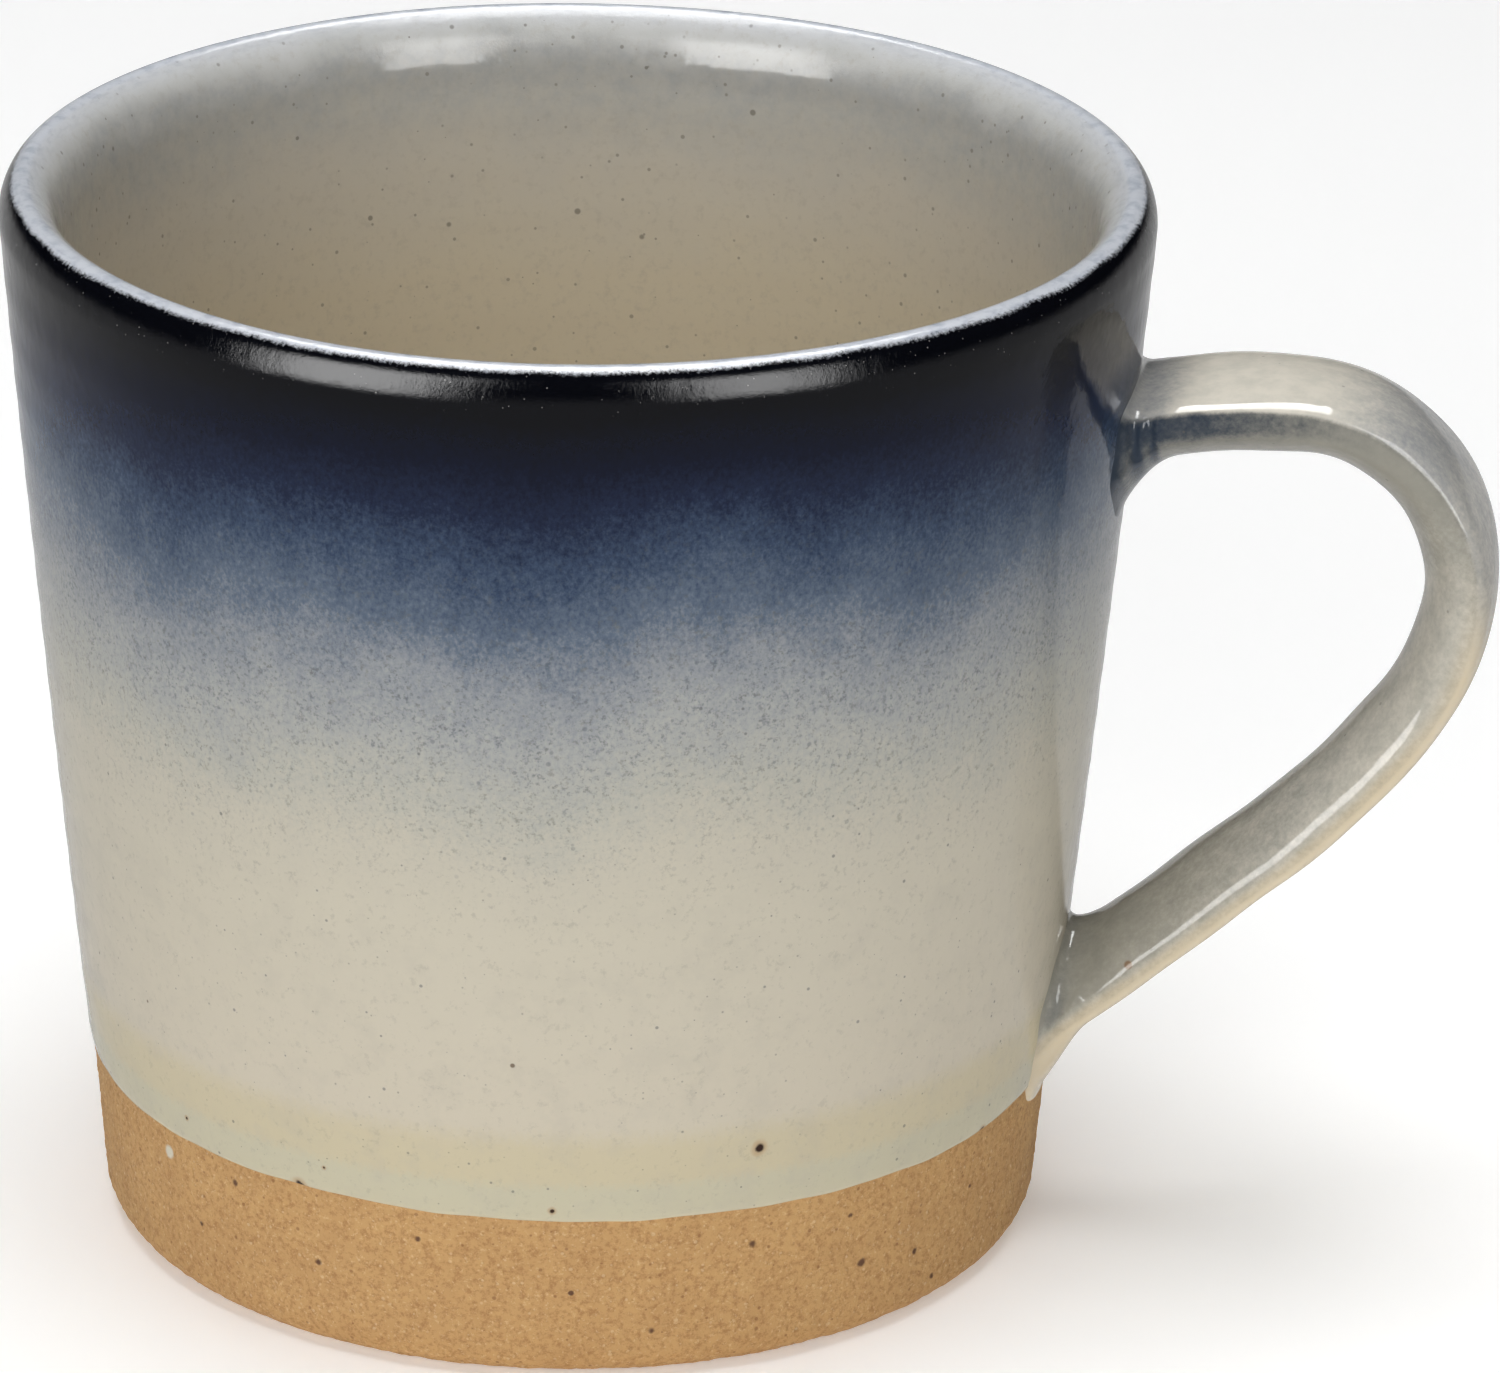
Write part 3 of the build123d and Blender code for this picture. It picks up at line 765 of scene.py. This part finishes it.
class Graph:
    """A material's node graph. A number stands for itself, and a socket is linked."""

    def __init__(self, name):
        self.material = bpy.data.materials.new(name)
        self.material.use_nodes = True
        self.tree = self.material.node_tree
        self.shader = self.tree.nodes["Principled BSDF"]
        place = self.node("ShaderNodeTexCoord").outputs["Object"]
        scale = self.node("ShaderNodeVectorMath", {0: place, "Scale": 1 / MM}, operation="SCALE")
        self.place = scale.outputs["Vector"]  # millimetres

    def node(self, kind, inputs=(), **settings):
        """A new node of this kind, with its inputs linked or set."""
        made = self.tree.nodes.new(kind)
        for key, value in settings.items():
            setattr(made, key, value)
        for socket, value in dict(inputs).items():
            self.feed(made.inputs[socket], value)
        return made

    def feed(self, socket, value):
        """Links a socket, or sets it to a number or colour."""
        if isinstance(value, bpy.types.NodeSocket):
            self.tree.links.new(value, socket)
        else:
            socket.default_value = value

    def math(self, operation, first, second):
        """One sum of two values."""
        return self.node("ShaderNodeMath", {0: first, 1: second}, operation=operation).outputs[0]

    def times(self, *values):
        """All the values multiplied together."""
        return functools.reduce(lambda a, b: self.math("MULTIPLY", a, b), values)

    def plus(self, *values):
        """All the values added together."""
        return functools.reduce(lambda a, b: self.math("ADD", a, b), values)

    def swing(self, value, gain):
        """A value from 0 to 1 made to swing both ways round zero."""
        return self.times(self.math("SUBTRACT", value, 0.5), gain)

    def stretched(self, *stretches):
        """The place in millimetres, stretched along each axis."""
        inputs = {0: self.place, 1: stretches}
        return self.node("ShaderNodeVectorMath", inputs, operation="MULTIPLY").outputs[0]

    def noise(self, size, detail=2.0, roughness=0.5, place=None):
        """Noise from 0 to 1 with features of about this many millimetres."""
        inputs = {"Scale": 1 / size, "Detail": detail, "Roughness": roughness}
        return self.node("ShaderNodeTexNoise", {"Vector": place or self.place, **inputs}).outputs["Fac"]

    def attribute(self, name):
        """The number that the mesh has at each point under this name."""
        return self.node("ShaderNodeAttribute", attribute_name=name).outputs["Fac"]

    def ease(self, value, low, high, start=0.0, stop=1.0):
        """value mapped from low..high to start..stop on an easy curve."""
        inputs = enumerate((value, low, high, start, stop))
        return self.node("ShaderNodeMapRange", inputs, interpolation_type="SMOOTHSTEP").outputs[0]

    def mix(self, share, first, second):
        """The first colour with this share of the second."""
        inputs = {0: share, 6: first, 7: second}
        return self.node("ShaderNodeMix", inputs, data_type="RGBA").outputs[2]

    def ramp(self, value, stops):
        """A colour for each value. Stops are (value, colour)."""
        low, high = stops[0][0], stops[-1][0]
        share = self.math("DIVIDE", self.math("SUBTRACT", value, low), high - low)
        made = self.node("ShaderNodeValToRGB", {0: share})
        elements = made.color_ramp.elements
        while len(elements) < len(stops):
            elements.new(0.5)
        for element, (at, colour) in zip(elements, stops):
            element.position = (at - low) / (high - low)
            element.color = srgb(*colour)
        return made.outputs[0]

    def specks(self, size, radius, share):
        """1 inside scattered round specks: cells of this size, of which this share have one."""
        cells = self.node("ShaderNodeTexVoronoi", {"Vector": self.place, "Scale": 1 / size})
        number = self.node("ShaderNodeSeparateColor", {0: cells.outputs["Color"]}).outputs
        chosen = self.math("LESS_THAN", number[0], share)
        reach = self.times(self.plus(number[1], SMALLEST_SPECK), radius / size)
        inside = self.ease(self.math("DIVIDE", cells.outputs["Distance"], reach), 1.0, SPECK_CORE)
        return self.times(inside, chosen)

    def speckle(self, colour, layers, where=1.0):
        """A colour with layers of specks over it: size, radius, share, strength and colour."""
        for size, radius, share, strength, tone in layers:
            mask = self.times(self.specks(size, radius, share), where, strength)
            colour = self.mix(mask, colour, srgb(*tone))
        return colour

    def spot(self, azimuth, height, radius):
        """1 inside one round spot on the wall, fading at its edge."""
        angle = math.radians(azimuth + FRONT)
        wall = wall_radius(max(height, LINE_HEIGHT)) - max(0.0, LINE_HEIGHT - height) * BAND_SLOPE
        centre = (wall * math.cos(angle), wall * math.sin(angle), height)
        made = self.node("ShaderNodeVectorMath", {0: self.place, 1: centre}, operation="DISTANCE")
        wobble = self.times(self.noise(radius * 0.9), radius * 0.5)
        return self.ease(self.plus(made.outputs["Value"], wobble), radius * 1.4, radius * 0.8)

    def bumps(self, *layers):
        """A surface with bumps on it. Each layer is a height from 0 to 1 and its size."""
        normal = None
        for height, size in layers:
            made = self.node("ShaderNodeBump", {"Strength": 1.0, "Distance": size * MM, "Height": height})
            if normal:
                self.feed(made.inputs["Normal"], normal)
            normal = made.outputs[0]
        return normal

    def finish(self, colour, roughness, normal, ior=GLAZE_IOR, shine=GLAZE_SHINE):
        """Feeds the shader, and gives the material."""
        looks = {"Base Color": colour, "Roughness": roughness, "Normal": normal, "IOR": ior,
                 "Specular IOR Level": shine}
        for socket, value in looks.items():
            self.feed(self.shader.inputs[socket], value)
        return self.material


# colours of the outside glaze by height, from the glaze line up
GLAZE_STOPS = [
    (14.0, (204, 197, 171)), (16.9, (203, 197, 172)), (17.8, (207, 196, 166)), (20.6, (207, 196, 167)),
    (22.4, (209, 200, 181)), (40.0, (205, 198, 180)), (45.0, (200, 194, 178)), (50.0, (186, 184, 173)),
    (55.0, (170, 171, 168)), (60.0, (146, 150, 155)), (65.0, (98, 110, 127)), (70.0, (57, 72, 96)),
    (74.0, (29, 39, 64)), (78.0, (12, 18, 38)), (82.0, (8, 9, 14)),
]
# colours inside by depth below the rim
LINER_STOPS = [
    (0.0, (208, 209, 209)), (1.5, (202, 203, 201)), (4.0, (184, 184, 180)), (7.0, (190, 188, 180)),
    (12.0, (200, 194, 181)), (22.0, (208, 198, 176)), (60.0, (212, 199, 173)),
]
# field, strength and colour of the handle's tones, each over the one before
HANDLE_TONES = [
    ("amber", 0.8, (226, 208, 174)),
    ("blue", 0.7, (112, 121, 134)),
    # the moss tone is partly painted shade, darkening the strap's sides and inner faces
    ("moss_and_painted_shade", 0.7, (120, 119, 109)),
    ("navy", 0.95, (40, 53, 70)),
]
# specks: cell size, radius, share of the cells that have one, strength and colour
CUP_SPECKS = [
    (1.6, 0.15, 0.5, 0.6, (96, 98, 100)),
    (0.75, 0.09, 0.5, 0.45, (110, 108, 100)),
    (5.0, 0.2, 0.2, 0.8, (92, 70, 52)),
]
LINER_SPECKS = [
    (1.1, 0.17, 0.6, 0.6, (122, 117, 106)),
    (2.8, 0.27, 0.5, 0.65, (104, 98, 88)),
    (7.0, 0.3, 0.15, 0.7, (92, 78, 62)),
]
HANDLE_SPECKS = [
    (1.3, 0.15, 0.35, 0.4, (104, 100, 92)),
    (3.4, 0.34, 0.4, 0.75, (128, 92, 54)),
]
CLAY_SPECKS = [
    (0.62, 0.15, 0.4, 0.45, (226, 196, 152)),
    (0.9, 0.16, 0.45, 0.6, (134, 88, 52)),
    (4.5, 0.3, 0.22, 0.9, (84, 50, 36)),
]
# iron spots, and a splash of glaze on the clay: azimuth from the mug's front, height and radius
GLAZE_SPOTS = [
    (22.9, 19.6, 0.42), (-0.8, 15.2, 0.22), (-31.5, 14.3, 0.45), (58.0, 14.2, 0.3),
    (-48.9, 16.4, 0.16), (-27.9, 16.5, 0.12), (150.0, 17.5, 0.35), (-160.0, 24.0, 0.25),
    (110.0, 31.0, 0.2),
]
CLAY_SPOTS = [
    (-41.7, 12.3, 0.36), (-29.6, 7.7, 0.34), (-48.3, 7.1, 0.27), (-16.6, 11.6, 0.30),
    (22.9, 10.9, 0.42), (35.9, 11.5, 0.30), (38.1, 6.9, 0.46), (11.0, 4.2, 0.34),
    (46.9, 6.1, 0.36), (57.0, 9.4, 0.28), (50.6, 3.0, 0.33), (16.9, 4.5, 0.2),
]
GLAZE_SPLASH = (-54.0, 12.0, 0.62)


def cup_glaze():
    """The outside glaze: near-black at the rim, breaking through mottled blue to cream."""
    g = Graph("two_glazes")
    level = g.attribute("level")
    lip = g.attribute("lip")

    # fine and slow noise pushes the colours up and down the wall, most where it is blue
    streaks = g.stretched(1.0, 1.0, 0.8)
    fine_reach = g.times(g.ease(level, 34, 56, 2.0, 11.0), g.ease(level, 84, 70, 0.25, 1.0))
    fine = g.swing(g.noise(0.36, 3.0, 0.7, streaks), fine_reach)
    slow_reach = g.times(g.ease(level, 30, 52), g.ease(level, 80, 68, 0.2, 1.0))
    slow = g.plus(g.swing(g.noise(2.2, 3.0, 0.6, streaks), 5.0), g.swing(g.noise(7.0), 5.0))
    colour = g.ramp(g.plus(level, fine, g.times(slow, slow_reach)), GLAZE_STOPS)

    # dark pepper and clumps in the blue
    patches = g.ease(g.noise(1.9, 3.0, 0.6), 0.35, 0.62, 0.35, 1.0)
    reach = g.times(g.ease(level, 38, 60), g.ease(level, 78, 66, 0.0, 0.6))
    pepper = g.times(g.ease(g.noise(0.4, 3.0, 0.8), 0.48, 0.68), patches, reach)
    colour = g.mix(pepper, colour, srgb(74, 86, 98))
    clump = g.times(g.specks(0.9, 0.18, 0.4), g.ease(level, 36, 54), g.ease(level, 74, 62, 0.0, 0.4))
    colour = g.mix(clump, colour, srgb(84, 92, 104))

    # clouds, grey marks and specks in the cream
    cloud = g.times(g.ease(g.noise(3.0, 4.0, 0.65), 0.45, 0.7, 0.0, 0.22), g.ease(level, 48, 36))
    colour = g.mix(cloud, colour, srgb(186, 180, 166))
    low = g.ease(level, 74, 62)
    marks = g.times(g.ease(g.noise(0.8, 4.0, 0.75), 0.54, 0.7), g.ease(level, 30, 48, 0.17, 0.3), low)
    colour = g.mix(marks, colour, srgb(128, 124, 112))
    colour = g.speckle(colour, CUP_SPECKS, low)
    for azimuth, height, radius in GLAZE_SPOTS:
        halo = g.spot(azimuth, height, radius * 1.9)
        colour = g.mix(g.times(halo, 0.45), colour, srgb(176, 132, 84))
        colour = g.mix(g.spot(azimuth, height, radius), colour, srgb(52, 34, 26))

    # the dark glaze thins to pale over the lip, and the liner's colours begin inside it
    over = g.plus(lip, g.swing(g.noise(0.3, 3.0, 0.75), 26.0), g.swing(g.noise(6.0), 16.0))
    pale = g.ease(over, 57, 70)
    along = g.stretched(0.4, 0.4, 2.0)
    clouds = g.ease(g.noise(0.6, 3.0, 0.6, along), 0.4, 0.75)
    cloudy = g.mix(clouds, srgb(203, 207, 214), srgb(176, 182, 193))
    colour = g.mix(pale, colour, cloudy)
    colour = g.mix(g.ease(lip, 105, 150), colour, liner_colour(g))

    # pale specks painted as glints of light, and a crust, where the dark glaze turns over
    dark = g.math("SUBTRACT", 1.0, pale)
    painted_glints = g.times(g.specks(0.4, 0.06, 0.4), g.ease(level, 82.2, 83.4), dark)
    colour = g.mix(painted_glints, colour, srgb(120, 118, 116))
    crust = g.times(g.noise(0.22, 3.0, 0.75), g.ease(level, 82.0, 83.6))
    normal = g.bumps((g.noise(1.6), 0.035), (g.noise(0.3, 2.0, 0.6), 0.004), (crust, 0.02))
    roughness = g.ease(g.noise(1.2, 3.0, 0.6), 0.3, 0.8, 0.06, 0.12)
    return g.finish(colour, roughness, normal)


def liner_colour(g):
    """The colour inside: greyish beige, paler and bluer towards the rim, with fine specks."""
    down = g.plus(g.attribute("depth"), g.swing(g.noise(9.0, 3.0, 0.6), 7.0))
    colour = g.ramp(down, LINER_STOPS)
    mottle = g.ease(g.noise(0.8, 4.0, 0.7), 0.48, 0.75, 0.0, 0.3)
    colour = g.mix(mottle, colour, srgb(170, 163, 150))
    band = g.times(g.ease(down, 1.0, 3.0), g.ease(down, 14.0, 4.0))
    cool = g.times(g.ease(g.noise(1.4, 5.0, 0.7), 0.3, 0.8), band, 0.45)
    colour = g.mix(cool, colour, srgb(152, 157, 165))
    return g.speckle(colour, LINER_SPECKS)


def liner_glaze():
    """The glaze inside the cup and in the well under its foot."""
    g = Graph("beige_liner")
    normal = g.bumps((g.noise(2.0), 0.03), (g.noise(0.4, 2.0, 0.6), 0.004))
    roughness = g.ease(g.noise(1.5, 3.0, 0.6), 0.3, 0.8, 0.14, 0.24)
    return g.finish(liner_colour(g), roughness, normal)


def handle_glaze():
    """The handle's glaze: grey cream with blue, navy and amber where it pooled or thinned, and painted
    shade on its sides and inner faces.
    """
    g = Graph("handle_glaze_look")
    blotch = g.noise(1.8, 3.0, 0.65)
    jitter = g.plus(g.swing(g.noise(0.5, 3.0, 0.7), 0.6), g.swing(blotch, 0.3))
    colour = g.mix(g.ease(blotch, 0.3, 0.75), srgb(220, 214, 201), srgb(206, 202, 190))
    for name, strength, tone in HANDLE_TONES:
        field = g.attribute(name)
        room = g.times(g.ease(field, 0.0, 0.5), g.ease(field, 1.1, 0.7))
        patchy = g.ease(g.plus(field, g.times(jitter, room)), 0.0, 1.0)
        colour = g.mix(g.times(patchy, strength), colour, srgb(*tone))
    colour = g.speckle(colour, HANDLE_SPECKS)
    normal = g.bumps((g.noise(2.4), 0.05), (g.noise(0.5, 2.0, 0.6), 0.006))
    thin = g.times(g.attribute("amber"), 0.16)
    roughness = g.plus(g.ease(g.noise(1.2, 3.0, 0.6), 0.3, 0.8, 0.06, 0.12), thin)
    return g.finish(colour, roughness, normal)


def bare_clay():
    """Sandy orange stoneware with pale grains and iron spots."""
    g = Graph("bare_stoneware")
    colour = g.mix(g.ease(g.noise(5.0, 3.0, 0.6), 0.3, 0.7), srgb(204, 162, 107), srgb(196, 154, 101))
    sand = g.ease(g.noise(0.55, 4.0, 0.8), 0.45, 0.65, 0.0, 0.7)
    colour = g.mix(sand, colour, srgb(163, 117, 68))
    pale_sand = g.ease(g.noise(0.4, 3.0, 0.75), 0.55, 0.72, 0.0, 0.6)
    colour = g.mix(pale_sand, colour, srgb(226, 194, 146))
    colour = g.speckle(colour, CLAY_SPECKS)
    for azimuth, height, radius in CLAY_SPOTS:
        colour = g.mix(g.times(g.spot(azimuth, height, radius), 0.9), colour, srgb(84, 50, 36))
    colour = g.mix(g.spot(*GLAZE_SPLASH), colour, srgb(214, 208, 190))
    grains = g.specks(0.62, 0.17, 0.42)
    normal = g.bumps((g.noise(0.45, 4.0, 0.75), 0.09), (grains, 0.03))
    return g.finish(colour, g.ease(grains, 0.0, 1.0, 0.85, 0.5), normal)


def glow(g, strength):
    """Makes a floor shine by itself, the same all over."""
    g.shader.inputs["Emission Color"].default_value = srgb(255, 255, 255)
    g.shader.inputs["Emission Strength"].default_value = strength


def pale_floor():
    """The plain floor that the mug stands on."""
    g = Graph("pale_floor")
    tone = g.mix(g.noise(60.0), srgb(246, 246, 246), srgb(243, 243, 243))
    glow(g, FLOOR_GLOW)
    return g.finish(tone, 0.9, g.bumps((g.noise(3.0), 0.01)), FLOOR_IOR, FLOOR_SHINE)


def mirrored_floor():
    """The plain grey that the glaze's shine sees instead of the floor."""
    g = Graph("mirrored_floor")
    g.shader.inputs["Base Color"].default_value = srgb(0, 0, 0)
    g.shader.inputs["Specular IOR Level"].default_value = 0.0
    glow(g, FLOOR_IN_THE_SHINE)
    return g.material


# ======== building ========


def dress(piece, material, slot, *nodes):
    """Gives a piece its material, and hides the CAD nodes it stands for. The slot is not used."""
    piece.data.materials.append(material)
    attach(piece, "root")
    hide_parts(*nodes)


glaze = cup_glaze()
clay = bare_clay()
liner = liner_glaze()
dress(pale_outer_coat(), glaze, "outer_glaze", "outer_glaze")
dress(dark_rim_coat(), glaze, "rim_glaze", "rim_glaze")
dress(liner_coat(), liner, "liner_glaze", "liner_glaze")
dress(clay_cup(), clay, "stoneware", "cup_body")
dress(foot_well_coat(), liner, "liner_glaze", "foot_well_glaze")
dress(glazed_handle(), handle_glaze(), "handle_glaze", "handle_glaze", "upper_slip_joint",
      "lower_slip_joint")
handle_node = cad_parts["handle"]
handle_node.data.materials.clear()
handle_node.data.materials.append(clay)

# ======== stage ========


def add_sheet(name, height, material):
    """One big square sheet of the stage."""
    corners = [(-1, -1), (1, -1), (1, 1), (-1, 1)]
    points = [(x * FLOOR_REACH * MM, y * FLOOR_REACH * MM, height * MM) for x, y in corners]
    mesh = bpy.data.meshes.new(name)
    mesh.from_pydata(points, [], [(0, 1, 2, 3)])
    mesh.materials.append(material)
    sheet = add_object(name, mesh)
    return sheet


def add_floor():
    """A plain pale floor, and a plain grey sheet under it that only the glaze's shine can see."""
    floor = add_sheet("floor", 0.0, pale_floor())
    floor.visible_glossy = False
    sheen = add_sheet("floor_in_the_shine", -0.5, mirrored_floor())
    sheen.visible_camera = sheen.visible_diffuse = sheen.visible_shadow = False


def add_light(name, azimuth, distance, height, width, length, power, lights):
    """A soft rectangular light that faces the mug."""
    data = bpy.data.lights.new(name, "AREA")
    data.shape = "RECTANGLE"
    data.size = width * MM
    data.size_y = length * MM
    data.energy = power
    lamp = add_object(name, data)
    angle = math.radians(azimuth + FRONT)
    lamp.location = Vector((distance * math.cos(angle), distance * math.sin(angle), height)) * MM
    lamp.rotation_mode = "QUATERNION"
    lamp.rotation_quaternion = (lamp.location - Vector((0, 0, LIGHT_AIM * MM))).to_track_quat("Z", "Y")
    lamp.visible_glossy = lights == "sheen"
    lamp.visible_diffuse = lights == "fill"
    lamp.visible_camera = False


def add_world():
    """A faint even light from all round."""
    world = bpy.data.worlds.new("studio")
    world.use_nodes = True
    background = world.node_tree.nodes["Background"]
    background.inputs["Color"].default_value = WORLD_COLOUR
    background.inputs["Strength"].default_value = WORLD_STRENGTH
    world.cycles_visibility.glossy = False
    bpy.context.scene.world = world


def add_camera():
    """The camera, at the viewing angle that the mug is shown from."""
    data = bpy.data.cameras.new("camera")
    data.sensor_width = CAMERA_SENSOR
    data.lens = CAMERA_LENS
    data.clip_start = CAMERA_CLIP
    camera = add_object("camera", data)
    spot = Vector(CAMERA_SPOT) * MM
    look = (Vector(CAMERA_TARGET) * MM - spot).to_track_quat("-Z", "Y")
    roll = Matrix.Rotation(math.radians(CAMERA_ROLL), 4, "Z")
    camera.matrix_world = Matrix.Translation(spot) @ look.to_matrix().to_4x4() @ roll
    bpy.context.scene.camera = camera


add_floor()
for light in LIGHTS:
    add_light(*light)
add_world()
add_camera()
bpy.context.scene.view_settings.view_transform = "Standard"
